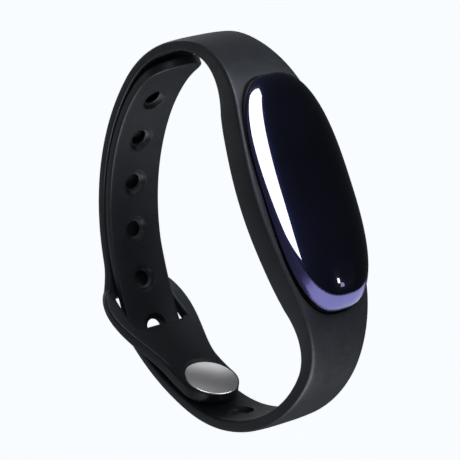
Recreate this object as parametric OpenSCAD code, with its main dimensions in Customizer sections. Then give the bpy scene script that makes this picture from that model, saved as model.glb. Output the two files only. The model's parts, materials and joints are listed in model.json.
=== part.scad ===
// Fitness tracker band: a one-piece elastic strap with a snap stud, and the
// tracker capsule that sits in its cradle.
// The ring of the strap lies in the XZ plane and Y runs across the strap.
// The origin is the centre of the wrist opening.

/* [Strap] */
// Width of the strap away from the capsule
strap_w = 10.8; // [10.6:0.1:11]
// Thickness of the upper arm and the tail
strap_t = 1.7; // [1.6:0.05:1.75]
// Thickness of the lower arm away from the capsule
under_t = 2.2; // [2:0.05:2.3]
// Gap between two layers of strap that lie on each other
layer_gap = 0.25; // [0.2:0.05:0.4]

/* [Holes] */
// Distance from hole to hole on the tail, along the upper arm's outer face
tail_pitch = 9.3; // [9.2:0.1:9.4]
// Distance from hole to hole on the lower arm
under_pitch = 9.6; // [9.3:0.1:9.8]
// Diameter of a hole's recess on each face
hole_rim_d = 4.5; // [4.3:0.1:4.6]
// Diameter of the thin web inside a hole
hole_web_d = 2.8; // [2.6:0.1:3.4]

/* [Loop] */
// Width of the loop beside its slot
loop_w = 16.8; // [16:0.2:17.4]
// Width of the slot that the tail goes through
slot_w = 11.4; // [11.4:0.1:11.8]
// Length of the slot along the strap
slot_len = 8.1; // [8:0.1:8.4]

/* [Cradle] */
// Width of the cradle at its middle
cradle_w = 20; // [19.6:0.2:21]
// Thickness of the cradle at its middle
cradle_t = 5.3; // [5.2:0.1:5.8]
// Play between the capsule and its pocket
pocket_play = 0.1; // [0.06:0.02:0.16]

/* [Capsule] */
// Length of the capsule
capsule_l = 40; // [39.6:0.2:40]
// Width of the capsule
capsule_w = 17; // [16.8:0.1:17]
// Height of the lens above the cradle
dome_h = 5.1; // [5:0.1:5.6]
// Wall of the lens and of the trim ring
lens_wall = 1; // [0.8:0.1:1]
// Wall of the capsule's lower shell
shell_wall = 1; // [0.8:0.1:1]

/* [Stud] */
// Diameter of the metal button
button_d = 9.5; // [8.5:0.25:9.5]
// Diameter of the stud's neck
neck_d = 1.8; // [1.6:0.1:1.9]
// Diameter of the stud's head
head_d = 2.6; // [2.4:0.1:2.7]

/* [Hidden] */
$fn = 48;

// ---- Strap line: a pose is [x, z, angle of the outward normal] ----

// Middle of the cradle's outer face
centre = [20.3, 11.35, 27.4];
// Outer face of each arm as tangent arcs, [radius, sweep], from the cradle's middle
over_arcs = [[200, 4.6], [16.5, 68.4], [23.8, 43.3], [41.5, 51.3], [80, 14]];
under_arcs = [[200, 5.1], [16.6, 54.1], [28.8, 49.5], [23.6, 25.1], [40.3, 22]];

// Pose after a length along one arc; turn is 1 on the upper arm and -1 on the lower
function arc_pose(p, r, turn, s) =
    let (o = p[2] + turn * s / r * 180 / PI)
    [p[0] + r * (cos(o) - cos(p[2])), p[1] + r * (sin(o) - sin(p[2])), o];
function along(p, arcs, turn, s, i = 0) =
    let (r = arcs[i][0], reach = arcs[i][1] * PI / 180 * r)
    s <= reach || i == len(arcs) - 1
        ? arc_pose(p, r, turn, s)
        : along(arc_pose(p, r, turn, reach), arcs, turn, s - reach, i + 1);
function over(s) = along(centre, over_arcs, 1, s);
function under(s) = along(centre, under_arcs, -1, s);
function inset(p, d) = [p[0] - d * cos(p[2]), p[1] - d * sin(p[2]), p[2]];

// Smooth link between two poses: a cubic curve that leaves and meets them tangentially
function link(p, q, turn, pull, u) =
    let (a = [p[0], p[1]],
         d = [q[0], q[1]],
         h = pull * norm(d - a),
         b = a + h * [cos(p[2] + turn * 90), sin(p[2] + turn * 90)],
         c = d - h * [cos(q[2] + turn * 90), sin(q[2] + turn * 90)],
         v = 1 - u,
         at = v * v * v * a + 3 * v * v * u * b + 3 * v * u * u * c + u * u * u * d,
         way = v * v * (b - a) + 2 * v * u * (c - b) + u * u * (d - c))
    [at[0], at[1], atan2(way[1], way[0]) - turn * 90];

// ---- Widths and thicknesses ----

// Falls smoothly from 1 to 0 as x goes from 0 to 1
function ease(x) = (1 + cos(180 * min(1, max(0, x)))) / 2;
bulge_len = 33;         // the cradle narrows to the strap's width over this length
taper_start = 12;       // and thins to the strap's thickness from here, over taper_len
taper_len = 36;
function arm_w(s) = strap_w + (cradle_w - strap_w) * ease(s / bulge_len);
function arm_t(s, t) = t + (cradle_t - t) * pow(ease((s - taper_start) / taper_len), 2);

// Cross-section as [y, depth] points, with its four corners rounded
corner_steps = 3;
corner_max_r = 1.2;
corner_share = 0.34;    // largest corner radius, as a share of the thickness
function section(w, t) =
    let (r = min(corner_max_r, corner_share * t, w / 2 - 0.01))
    [for (q = [[1, 0], [1, 1], [-1, 1], [-1, 0]], i = [0:corner_steps])
        let (far = q[1] == 1,
             rising = (q[0] > 0) == !far,
             a = 90 * (rising ? i : corner_steps - i) / corner_steps,
             d = r * (1 - cos(a)))
        [q[0] * (w / 2 - r + r * sin(a)), far ? t - d : d]];

function backwards(list) = [for (i = [len(list) - 1:-1:0]) list[i]];

// Solid that follows a list of stations [x, z, angle, width, thickness], anticlockwise in X and Z
module sweep(stations) {
    rings = [for (st = stations)
        [for (c = section(st[3], st[4]))
            [st[0] - c[1] * cos(st[2]), c[0], st[1] - c[1] * sin(st[2])]]];
    m = len(rings[0]);
    n = len(rings);
    walls = [for (i = [0:n - 2], j = [0:m - 1])
        let (a = i * m + j, b = i * m + (j + 1) % m)
        each [[a, a + m, b], [b, a + m, b + m]]];
    ends = [[for (j = [0:m - 1]) j], [for (j = [m - 1:-1:0]) (n - 1) * m + j]];
    polyhedron([for (r = rings) each r], concat(walls, ends), convexity = 8);
}

// ---- Where the strap's features lie ----

stud_s = 69.7;          // stud, along the lower arm
tab_join_s = 73.6;      // the tab meets the lower arm's line here
loop_s = 95.2;          // the upper arm ends here, above the slot
crossing_start_s = 77;  // the arms' one solid ends here and the crossing's begins
cross_s = 85;           // the lower arm ends here, below the slot
thin_start_s = 66;      // the lower arm thins from here to the slot
tail_join_s = 87.4;     // the tail meets the upper arm's line here
tail_tip_s = 42.4;      // the tail's tip, as a length along the upper arm
tail_lift = 0.8;        // how far the free tip stands off the upper arm
tail_lift_s = 62;       // the tail starts to stand off here, over tail_lift_len
tail_lift_len = 24;
link_pull = 0.17;       // how strongly a link holds its end directions
tab_t = 2.4;
tab_depth = under_t + layer_gap;
tip_r = strap_w / 2;

function with_size(p, w, t) = [p[0], p[1], p[2], w, t];
function tab_line(s) = inset(under(s), tab_depth);
function tail_line(s) = inset(over(s), strap_t + layer_gap
    + tail_lift * (1 - ease((tail_lift_s - s) / tail_lift_len)));
function loop_link(u) = link(over(loop_s), tab_line(tab_join_s), 1, link_pull, u);
function tail_link(u) = link(under(cross_s), tail_line(tail_join_s), -1, link_pull, u);

loop_s_mid = 102;       // widest place of the loop, as a length along its own line
loop_half = 12;         // length over which the loop narrows on each side
loop_link_len = 21.5;   // length of the link from the upper arm to the tab
slot_u = 0.317;         // middle of the slot along that link
tab_hinge_u = 0.58;     // living bends of the tab and of the tail, each along its link
tail_hinge_u = 0.433;
bend_gap = 0.012;       // the cut at a living bend, as a share of the link
thicken = 1.4;          // how fast the loop thickens to the tab along the link

function loop_w_at(s) = strap_w + (loop_w - strap_w) * ease(abs(s - loop_s_mid) / loop_half);
function link_w(u) = loop_w_at(loop_s + u * loop_link_len);
function link_t(u) = tab_t + (strap_t - tab_t) * ease(u * thicken);
function under_arm_t(s) =
    arm_t(s, strap_t + (under_t - strap_t) * ease((s - thin_start_s) / (cross_s - thin_start_s)));

// Puts a child at a pose, with its Z along the outward normal and its X down the lower arm
module at_pose(p) {
    translate([p[0], 0, p[1]]) rotate([0, 90 - p[2], 0]) children();
}
module in_capsule() {
    at_pose(centre) children();
}

// One adjustment hole through thickness t, with a recess on each face and a web between
web_t = 0.5;
past = 1;               // how far a cut reaches past the face it goes through
module adjust_hole(t, web_d) {
    translate([0, 0, -t - past]) cylinder(h = t + 2 * past, d = web_d);
    translate([0, 0, -t / 2 + web_t / 2]) cylinder(h = t, d = hole_rim_d);
    translate([0, 0, -t * 3 / 2 - web_t / 2]) cylinder(h = t, d = hole_rim_d);
}

// ---- Capsule outline, in the capsule's own frame ----

round_power = 2.7;
outline_steps = 60;
function power(v, e) = sign(v) * pow(abs(v), e);
function outline(a, b) =
    [for (i = [0:outline_steps - 1]) let (t = 360 * i / outline_steps)
        [a * power(cos(t), 2 / round_power), b * power(sin(t), 2 / round_power)]];
module slab(grow, low, high) {
    translate([0, 0, low])
        linear_extrude(high - low)
            polygon(outline(capsule_l / 2 + grow, capsule_w / 2 + grow));
}

base_low = -3.9;        // step of the lower shell that rests on the cradle's ledge
back_low = -5;          // flat back of the capsule, which shows inside the strap
base_high = -0.45;      // where the gasket sits
floor_t = 0.9;
floor_top = base_low + floor_t;
ledge_in = 1.1;         // inner ledge of the cradle that the capsule rests on
clear = 8;              // more than the cradle's depth on either side of its outer face

// ---- Strap ----

arm_steps = 36;
link_steps = 12;
bend_steps = 5;
slot_cut_up = 0.8;      // the slot's cut reaches this far out of and into the loop
slot_cut_in = 3.4;
// Both arms through the cradle, from the lower arm's part below the stud to the tab's living
// bend, with the slot in the upper arm's loop
module arms() {
    lower = [for (i = [arm_steps:-1:1]) let (s = crossing_start_s * i / arm_steps)
        with_size(under(s), arm_w(s), under_arm_t(s))];
    upper = [for (i = [0:arm_steps]) let (s = loop_s * i / arm_steps)
        with_size(over(s), max(arm_w(s), loop_w_at(s)), arm_t(s, strap_t))];
    loop = [for (i = [1:link_steps]) let (u = (tab_hinge_u - bend_gap / 2) * i / link_steps)
        with_size(loop_link(u), link_w(u), link_t(u))];
    difference() {
        sweep(concat(lower, upper, loop));
        at_pose(loop_link(slot_u))
            translate([-slot_len / 2, -slot_w / 2, -slot_cut_in])
                cube([slot_len, slot_w, slot_cut_in + slot_cut_up]);
    }
}
// The lower arm's last part, which passes through the slot to the tail's living bend; its root
// is a slightly smaller plug inside the arms' solid
plug_len = 1;
plug_step = 0.04;
module crossing() {
    plug = [for (s = [crossing_start_s - plug_len, crossing_start_s + plug_len / 2])
        with_size(inset(under(s), plug_step), arm_w(s) - 2 * plug_step, under_arm_t(s) - 2 * plug_step)];
    before = [for (i = [1:bend_steps])
        let (s = crossing_start_s + (cross_s - crossing_start_s) * i / bend_steps)
        with_size(under(s), arm_w(s), under_arm_t(s))];
    through = [for (i = [1:link_steps]) let (u = (tail_hinge_u - bend_gap / 2) * i / link_steps)
        with_size(tail_link(u), strap_w, strap_t)];
    sweep(backwards(concat(plug, before, through)));
}
module strap_body() {
    color("#26282c")
    difference() {
        union() {
            arms();
            crossing();
        }
        in_capsule() {
            slab(pocket_play, base_low - pocket_play, clear);
            slab(-ledge_in, -clear, clear);
        }
        // the hole beyond the stud's, the stud's own, and two on the way into the slot
        at_pose(under(stud_s - under_pitch)) adjust_hole(under_arm_t(stud_s - under_pitch), hole_web_d);
        at_pose(under(stud_s - stud_play)) adjust_hole(under_arm_t(stud_s), hole_rim_d);
        at_pose(under(stud_s + under_pitch)) adjust_hole(under_arm_t(stud_s + under_pitch), hole_web_d);
        at_pose(tail_link(slot_hole_u)) adjust_hole(strap_t, hole_web_d);
    }
}
stud_play = 0.5;        // the stud bears on the slot's side of its hole
slot_hole_u = 0.195;    // hole that lies in the slot
bend_hole_u = 0.615;    // first hole past the tail's bend
last_tail_hole_s = 84.9;
tail_hole_count = 4;

tip_steps = 7;
tip_sweep = 84;         // the round tips end just short of a point
tail_steps = 26;
module strap_tail() {
    first_u = tail_hinge_u + bend_gap / 2;
    crossing = [for (i = [0:bend_steps]) let (u = first_u + (1 - first_u) * i / bend_steps)
        with_size(tail_link(u), strap_w, strap_t)];
    straight = [for (i = [1:tail_steps])
        let (s = tail_join_s + (tail_tip_s + tip_r - tail_join_s) * i / tail_steps)
        with_size(tail_line(s), strap_w, strap_t)];
    tip = [for (i = [1:tip_steps]) let (a = tip_sweep * i / tip_steps)
        with_size(tail_line(tail_tip_s + tip_r * (1 - sin(a))), 2 * tip_r * cos(a), strap_t)];
    color("#202226")
    difference() {
        sweep(backwards(concat(crossing, straight, tip)));
        for (i = [0:tail_hole_count - 1])
            at_pose(tail_line(last_tail_hole_s - i * tail_pitch)) adjust_hole(strap_t, hole_web_d);
        at_pose(tail_link(bend_hole_u)) adjust_hole(strap_t, hole_web_d);
    }
}

module strap_tab() {
    first_u = tab_hinge_u + bend_gap / 2;
    bend = [for (i = [0:bend_steps]) let (u = first_u + (1 - first_u) * i / bend_steps)
        with_size(loop_link(u), link_w(u), link_t(u))];
    tip = [for (i = [1:tip_steps]) let (a = tip_sweep * i / tip_steps)
        with_size(tab_line(stud_s - tip_r * sin(a)), 2 * tip_r * cos(a), tab_t)];
    color("#26282c")
    difference() {
        sweep(concat(bend, [with_size(tab_line(stud_s), strap_w, tab_t)], tip));
        at_pose(under(stud_s)) {
            translate([0, 0, button_seat - past]) cylinder(h = tab_t + 2 * past, d = neck_d);
            // seat that the button's back lies in
            translate([0, 0, button_seat - past]) cylinder(h = past, d = button_d + 2 * seat_play);
        }
    }
}

// ---- Stud ----

button_h = 0.6;
button_edge = 0.15;     // straight part of the button's rim
button_bevel = 0.1;
bevel_in = 0.15;
seat_play = 0.03;
seat_depth = 0.05;
button_seat = -tab_depth - tab_t + seat_depth;    // level of the button's back
button_steps = 8;
head_h = 0.6;
head_bevel = 0.3;
module stud_button() {
    rim_r = button_d / 2;
    low = button_edge + button_bevel;
    color("#b9bbbe")
    at_pose(under(stud_s)) {
        translate([0, 0, button_seat])
            rotate([180, 0, 0])
                rotate_extrude($fn = 96)
                    polygon(concat([[0, 0], [rim_r, 0], [rim_r, button_edge]],
                                   [for (i = [0:button_steps])
                                       let (k = 1 - i / button_steps)
                                       [(rim_r - bevel_in) * k, low + (button_h - low) * (1 - k * k)]]));
        translate([0, 0, button_seat])
            cylinder(h = -button_seat - head_h, d = neck_d);
    }
}
module stud_head() {
    color("#a4a6aa")
    at_pose(under(stud_s))
        translate([0, 0, -head_h])
            rotate_extrude($fn = 64)
                polygon([[0, 0], [head_d / 2, 0], [head_d / 2, head_h - head_bevel],
                         [head_d / 2 - head_bevel, head_h], [0, head_h]]);
}

// ---- Capsule case ----

dome_steps = 9;
overlap = 0.01;
// Closed dome over the outline with semi-axes a and b, height h and a flat underside at 0
module dome(a, b, h) {
    rings = [for (j = [0:dome_steps - 1]) let (t = 90 * j / dome_steps)
        [for (p = outline(a, b)) [p[0] * pow(cos(t), 2 / round_power),
                                  p[1] * pow(cos(t), 2 / round_power), h * sin(t)]]];
    m = outline_steps;
    top = m * dome_steps;
    walls = [for (j = [0:dome_steps - 2], i = [0:m - 1])
        let (k = j * m + i, l = j * m + (i + 1) % m)
        each [[k, k + m, l], [l, k + m, l + m]]];
    cap = [for (i = [0:m - 1]) [top - m + i, top, top - m + (i + 1) % m]];
    polyhedron(concat([for (r = rings) each r], [[0, 0, h]]),
               concat(walls, cap, [[for (i = [0:m - 1]) i]]), convexity = 4);
}

// The lens meets the trim ring on a shallow arc that climbs towards the lower end
part_low = 0.5;
part_r = 340;
part_steps = 12;
part_reach = 24;        // half the length of the parting cut, past both ends of the capsule
part_far = 12;
part_gap = 0.03;
module parting(up, gap) {
    edge = [for (i = [0:part_steps])
        let (x = part_reach * (2 * i / part_steps - 1), d = x + capsule_l / 2)
        [x, part_low + (d > 0 ? part_r - sqrt(part_r * part_r - d * d) : 0) + gap]];
    far = up ? part_far : -part_far;
    rotate([90, 0, 0])
        linear_extrude(2 * part_far, center = true)
            polygon(concat(edge, [[part_reach, far], [-part_reach, far]]));
}
module shell_of_dome() {
    difference() {
        dome(capsule_l / 2, capsule_w / 2, dome_h);
        translate([0, 0, -overlap])
            dome(capsule_l / 2 - lens_wall, capsule_w / 2 - lens_wall, dome_h - lens_wall);
    }
}

module lens() {
    color("#14141f")
    in_capsule() intersection() {
        shell_of_dome();
        parting(true, part_gap);
    }
}

trim_low = -0.15;
module trim_ring() {
    color("#4a4690")
    in_capsule() {
        intersection() {
            shell_of_dome();
            parting(false, 0);
        }
        difference() {
            slab(0, trim_low, 0);
            slab(-lens_wall, trim_low - past, past);
        }
    }
}

gasket_in = 0.2;        // the gasket's edge lies this far inside the case
gasket_w = 0.75;
module case_gasket() {
    color("#3c3c3e")
    in_capsule() difference() {
        slab(-gasket_in, base_high, trim_low);
        slab(-gasket_in - gasket_w, base_high - past, trim_low + past);
    }
}

pin_x = -15.2;          // charge pins, flush with the back
pin_y = 2.4;
pin_head_r = 1.1;
pin_r = 0.45;
post_x = 17.2;          // posts that carry the board's lower end
post_y = 1.6;
post_r = 0.7;
board_low = -0.1;
base_step = 0.5;
back_play = 0.2;        // play round the back inside the cradle's window
module base_shell() {
    color("#1b1c20")
    in_capsule() {
        difference() {
            union() {
                slab(0, base_low + base_step, base_high);
                slab(-base_step, base_low, base_low + base_step);
                slab(-ledge_in - back_play, back_low, base_low);
            }
            slab(-shell_wall, floor_top, clear);
            for (y = [-pin_y, pin_y])
                translate([pin_x, y, back_low - past])
                    cylinder(h = floor_top - back_low + 2 * past, r = pin_head_r);
        }
        for (y = [-post_y, post_y])
            translate([post_x, y, floor_top]) cylinder(h = board_low - floor_top, r = post_r);
    }
}

module charge_pins() {
    color("#d8b25a")
    in_capsule() for (y = [-pin_y, pin_y]) translate([pin_x, y, 0]) {
        translate([0, 0, back_low]) cylinder(h = floor_top - back_low, r = pin_head_r);
        translate([0, 0, floor_top]) cylinder(h = board_low - floor_top, r = pin_r);
    }
}

// ---- Electronics ----

// A block by its centre in X and Y, its underside in Z, and its size
module block(at, low, size) {
    translate([at[0] - size[0] / 2, at[1] - size[1] / 2, low]) cube(size);
}

// Each part of the board is [place on the board], [length, width, height]
radio_at = [-5, 0];
radio = [5, 5, 0.7];
can = [8.4, 7.6, 1.2];
can_t = 0.2;
power_at = [1.8, 2.4];
power = [3, 3, 0.75];
memory_at = [1.4, -2.6];
memory = [4, 3, 0.8];
sensor_at = [7.6, 2.8];
sensor = [2, 2, 0.9];
crystal_at = [7.8, -2.8];
crystal_can = [3.2, 1.5, 0.7];
antenna_at = [-16, 0];
antenna = [1.6, 6.5, 0.9];
led_at = [10.4, 0];
led = [1.6, 0.8, 0.6];
capacitor = [0.5, 1, 0.5];
capacitor_xs = [-12.6, -11.2];
capacitor_ys = [-3.6, -1.2, 1.2, 3.6];

board_t = 0.6;
board_in = 1.8;         // the board's edge lies this far inside the case's outline
board_top = board_low + board_t;
module main_board() {
    color("#1f5a3a")
    in_capsule() slab(-board_in, board_low, board_top);
}
module on_board(at, size) {
    in_capsule() block(at, board_top, size);
}
module bluetooth_chip() {
    color("#2a2a2c") on_board(radio_at, radio);
}
module shield_can() {
    inside = [can[0] - 2 * can_t, can[1] - 2 * can_t, can[2] - can_t + past];
    color("#c4c6c8")
    in_capsule() difference() {
        block(radio_at, board_top, can);
        block(radio_at, board_top - past, inside);
    }
}
module power_chip() {
    color("#242426") on_board(power_at, power);
}
module memory_chip() {
    color("#242426") on_board(memory_at, memory);
}
module accelerometer() {
    color("#3a3a3c") on_board(sensor_at, sensor);
}
module crystal() {
    color("#cfcfca") on_board(crystal_at, crystal_can);
}
module chip_antenna() {
    color("#e6e2d6") on_board(antenna_at, antenna);
}
module status_led() {
    color("#f2f0e2") on_board(led_at, led);
}
module chip_capacitors() {
    color("#b89a72")
    for (x = capacitor_xs, y = capacitor_ys) on_board([x, y], capacitor);
}

plate_low = 1.8;        // underside of the bracket's plate
plate = [16.6, 8.4, 0.3];
leg = 0.8;
display = [16, 7.4, 0.8];
display_at = [-4, 0];
display_low = plate_low + plate[2];
module display_bracket() {
    leg_x = (plate[0] - leg) / 2;
    leg_y = (plate[1] - leg) / 2;
    color("#e8e8e4")
    in_capsule() {
        block(display_at, plate_low, plate);
        for (x = [-leg_x, leg_x], y = [-leg_y, leg_y])
            block(display_at + [x, y], board_top, [leg, leg, plate_low - board_top]);
    }
}
module display_panel() {
    color("#101418")
    in_capsule() block(display_at, display_low, display);
}
flex_at = [5, 0];
flex_w = 2;
flex_t = 0.12;
flex_reach = 0.82;      // length of the flex's fold towards the panel
module display_flex() {
    fold_top = display_low + display[2] / 2;
    fold_at = flex_at - [(flex_t + flex_reach) / 2, 0];
    color("#b3762a")
    in_capsule() {
        block(flex_at, board_top, [flex_t, flex_w, fold_top - board_top]);
        block(fold_at, fold_top - flex_t, [flex_reach, flex_w, flex_t]);
    }
}

touch_x = 14.4;         // the pad under the lens that senses a touch
touch_low = 2;
touch_r = 2.2;
touch_t = 0.2;
touch_leg_r = 0.4;
module touch_electrode() {
    color("#c9a468")
    in_capsule() translate([touch_x, 0, 0]) {
        translate([0, 0, touch_low]) cylinder(h = touch_t, r = touch_r);
        translate([0, 0, board_top]) cylinder(h = touch_low - board_top, r = touch_leg_r);
    }
}

cell_at = [-3.4, 0];
cell = [19.6, 10.4, 2.5];
tape = [17, 8, 0.1];
cell_low = floor_top + tape[2];
module battery_tape() {
    color("#e9e4c8")
    in_capsule() block(cell_at, floor_top, tape);
}
module battery() {
    color("#aeb4ba")
    in_capsule() block(cell_at, cell_low, cell);
}
tab_y = 2.2;            // nickel tabs from the cell's end up to the board
nickel = [0.6, 1.6, 0.15];
nickel_low = cell_low + 1.4;
module battery_tabs() {
    end_x = cell_at[0] + cell[0] / 2;
    upright_low = nickel_low + nickel[2];
    color("#c8c8c4")
    in_capsule() for (y = [-tab_y, tab_y]) {
        block([end_x + nickel[0] / 2, y], nickel_low, nickel);
        block([end_x + nickel[0] - nickel[2] / 2, y], upright_low,
              [nickel[2], nickel[1], board_low - upright_low]);
    }
}

// ---- Vibration motor ----

motor_x = 11.8;
motor_r = 4;
motor_wall = 0.25;
motor_low = floor_top;
motor_h = 2.4;
cover_t = 0.2;
pivot_r = 0.35;
pivot_play = 0.03;
magnet_r = 2.9;
magnet_bore_r = 1.2;
magnet_t = 0.6;
rotor_r = 3.4;          // the rotor is a half disc round a small hub
rotor_t = 0.9;
hub_r = 0.9;
rotor_gap = 0.15;       // between the magnet and the rotor
module in_motor() {
    in_capsule() translate([motor_x, 0, motor_low]) children();
}
module motor_case() {
    color("#b4b6b8")
    in_motor() difference() {
        cylinder(h = motor_h, r = motor_r);
        translate([0, 0, -past]) cylinder(h = motor_h + past - motor_wall, r = motor_r - motor_wall);
    }
}
module motor_cover() {
    color("#8e9092")
    in_motor() cylinder(h = cover_t, r = motor_r - motor_wall);
}
module motor_shaft() {
    color("#d0d2d4")
    in_motor() translate([0, 0, cover_t]) cylinder(h = motor_h - motor_wall - cover_t, r = pivot_r);
}
module motor_magnet() {
    color("#55585c")
    in_motor() translate([0, 0, cover_t]) difference() {
        cylinder(h = magnet_t, r = magnet_r);
        translate([0, 0, -past]) cylinder(h = magnet_t + 2 * past, r = magnet_bore_r);
    }
}
module motor_rotor() {
    color("#9a8a62")
    in_motor() translate([0, 0, cover_t + magnet_t + rotor_gap]) difference() {
        union() {
            cylinder(h = rotor_t, r = hub_r);
            intersection() {
                cylinder(h = rotor_t, r = rotor_r);
                translate([-motor_r, 0, -past]) cube([2 * motor_r, motor_r, rotor_t + 2 * past]);
            }
        }
        translate([0, 0, -past]) cylinder(h = rotor_t + 2 * past, r = pivot_r + pivot_play);
    }
}

strap_body();
strap_tail();
strap_tab();
stud_button();
stud_head();
lens();
trim_ring();
base_shell();
case_gasket();
display_panel();
display_bracket();
display_flex();
main_board();
bluetooth_chip();
shield_can();
power_chip();
memory_chip();
accelerometer();
crystal();
chip_antenna();
status_led();
chip_capacitors();
touch_electrode();
battery();
battery_tape();
battery_tabs();
charge_pins();
motor_case();
motor_cover();
motor_shaft();
motor_magnet();
motor_rotor();
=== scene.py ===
"""Fitness tracker band: smooth skins, materials, light and camera around the CAD frame.

Shapes are worked out in millimetres, in the frame's own axes, and written to Blender in metres.
"""
import json
import math

import bmesh
import bpy
import numpy as np
from mathutils import Matrix, Vector
from mathutils.geometry import delaunay_2d_cdt


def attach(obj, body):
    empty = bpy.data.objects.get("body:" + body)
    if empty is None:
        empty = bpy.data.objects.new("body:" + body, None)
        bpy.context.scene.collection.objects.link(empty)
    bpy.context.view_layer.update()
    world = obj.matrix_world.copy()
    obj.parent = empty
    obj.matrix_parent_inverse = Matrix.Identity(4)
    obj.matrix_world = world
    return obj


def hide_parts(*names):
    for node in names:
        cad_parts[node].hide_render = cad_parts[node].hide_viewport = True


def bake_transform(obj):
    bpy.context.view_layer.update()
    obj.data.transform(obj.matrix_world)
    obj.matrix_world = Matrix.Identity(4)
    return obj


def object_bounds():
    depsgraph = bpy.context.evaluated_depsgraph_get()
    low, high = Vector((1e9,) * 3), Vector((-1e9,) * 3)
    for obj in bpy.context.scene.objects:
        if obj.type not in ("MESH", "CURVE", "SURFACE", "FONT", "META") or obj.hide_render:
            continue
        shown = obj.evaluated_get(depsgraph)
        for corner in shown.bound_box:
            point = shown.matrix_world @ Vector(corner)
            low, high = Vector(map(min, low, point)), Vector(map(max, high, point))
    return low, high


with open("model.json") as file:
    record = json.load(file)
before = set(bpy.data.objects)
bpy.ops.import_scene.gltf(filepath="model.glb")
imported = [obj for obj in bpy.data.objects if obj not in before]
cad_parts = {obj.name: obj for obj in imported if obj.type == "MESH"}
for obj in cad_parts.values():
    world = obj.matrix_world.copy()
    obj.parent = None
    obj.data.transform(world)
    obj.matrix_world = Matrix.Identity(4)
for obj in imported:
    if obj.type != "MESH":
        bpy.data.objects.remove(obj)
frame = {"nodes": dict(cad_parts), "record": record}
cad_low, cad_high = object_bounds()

MM = 0.001
NODES = frame["nodes"]

# ---------------------------------------------------------------- the design's driving sizes

STRAP_W = 10.8
STRAP_T = 1.7
UNDER_T = 2.2
TAB_T = 2.4
LAYER_GAP = 0.25
CRADLE_W = 20.0
CRADLE_T = 5.3
LOOP_W = 16.8
SLOT_W = 11.4
SLOT_LEN = 8.1
SLOT_CORNER_R = 0.9
CAPSULE_L = 40.0
CAPSULE_W = 17.0
DOME_H = 5.1
POCKET_PLAY = 0.1
TAIL_PITCH = 9.3
UNDER_PITCH = 9.6
RIM_R = 2.25
WEB_R = 1.4
BUTTON_R = 4.75
BUTTON_H = 0.6
BUTTON_RIM_H = 0.25
BUTTON_SINK = 0.05
NECK_R = 0.9
HEAD_H = 0.6
TIP_R = STRAP_W / 2
CROWN_SHARE = 0.018
TAB_DEPTH = UNDER_T + LAYER_GAP

# The height of the button's seat on the tab, outward from the lower arm's outer face
BUTTON_SEAT = -TAB_DEPTH - TAB_T + BUTTON_SINK

# Middle of the cradle's outer face: x, z and the angle of the outward normal
CENTRE = (20.3, 11.35, math.radians(27.4))
# The strap's outer face either way from there, over the top and underneath: (radius, degrees) arcs
OVER_ARCS = ((200, 4.6), (16.5, 68.4), (23.8, 43.3), (41.5, 51.3), (80, 14))
UNDER_ARCS = ((200, 5.1), (16.6, 54.1), (28.8, 49.5), (23.6, 25.1), (40.3, 22))

# Places on either arm, as lengths along its outer face from the cradle's middle
STUD_S = 69.7
BORE_S = STUD_S - 0.5
TAB_JOIN_S = 73.6
LOOP_S = 95.2
CROSS_S = 85.0
TAIL_JOIN_S = 87.4
TAIL_TIP_S = 42.4
LAST_TAIL_HOLE_S = 84.9
TAIL_HOLES = 4

# Where the width and the thickness change along the arms
CRADLE_NARROWS = 33
CRADLE_THICK_S = 12
CRADLE_THINS = 36
UNDER_THICK_S = 66
LOOP_MIDDLE_S = 102
LOOP_WIDENS = 12

# The tail lifts off the upper arm towards its tip
TAIL_LIFT = 0.8
TAIL_LIFT_S = 62
TAIL_LIFTS = 24

# The links that join the upper arm to the tab and the lower arm to the tail
LINK_PULL = 0.17
LOOP_LINK_LEN = 21.5
TAB_THICKENS = 1.4
LINK_SHARES = np.linspace(0, 1, 91)[1:]

# Shares of the links at the slot's middle and at the two holes nearest to the tail's bend
SLOT_U = 0.317
SLOT_HOLE_U = 0.195
BEND_HOLE_U = 0.615

# The strap is one moulding; its skin is cut where it is plain, so that each piece would bend at one joint,
# though nothing here makes it bend
OVER_CUT_S = 40.0
UNDER_CUT_S = 44.0


# ---------------------------------------------------------------- the strap's line

def arc_pose(p, radius, turn, s):
    """The pose (x, z, angle) after a length s of an arc that starts at pose p."""
    angle = p[2] + turn * s / radius
    return (p[0] + radius * (math.cos(angle) - math.cos(p[2])),
            p[1] + radius * (math.sin(angle) - math.sin(p[2])), angle)


def along(arcs, turn, s):
    """The pose after a length s of a chain of arcs from the cradle's middle."""
    pose = CENTRE
    for i, (radius, degrees) in enumerate(arcs):
        reach = math.radians(degrees) * radius
        if s <= reach or i == len(arcs) - 1:
            return arc_pose(pose, radius, turn, s)
        pose = arc_pose(pose, radius, turn, reach)
        s -= reach


def over(s):
    """The outer face a length s over the top of the ring."""
    return along(OVER_ARCS, 1, s)


def under(s):
    """The outer face a length s down and underneath."""
    return along(UNDER_ARCS, -1, s)


def inset(p, depth):
    """A pose moved inwards from the outer face."""
    return (p[0] - depth * math.cos(p[2]), p[1] - depth * math.sin(p[2]), p[2])


def link(p, q, turn, pull, u):
    """A smooth cubic link between two poses, which leaves and meets them tangentially."""
    a = np.array(p[:2])
    d = np.array(q[:2])
    handle = pull * np.linalg.norm(d - a)
    start = p[2] + turn * math.pi / 2
    end = q[2] + turn * math.pi / 2
    b = a + handle * np.array((math.cos(start), math.sin(start)))
    c = d - handle * np.array((math.cos(end), math.sin(end)))
    v = 1 - u
    at = v ** 3 * a + 3 * v * v * u * b + 3 * v * u * u * c + u ** 3 * d
    way = v * v * (b - a) + 2 * v * u * (c - b) + u * u * (d - c)
    return (at[0], at[1], math.atan2(way[1], way[0]) - turn * math.pi / 2)


def ease(x):
    """Falls smoothly from 1 to 0 as x goes from 0 to 1."""
    return (1 + math.cos(math.pi * min(1, max(0, x)))) / 2


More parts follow.
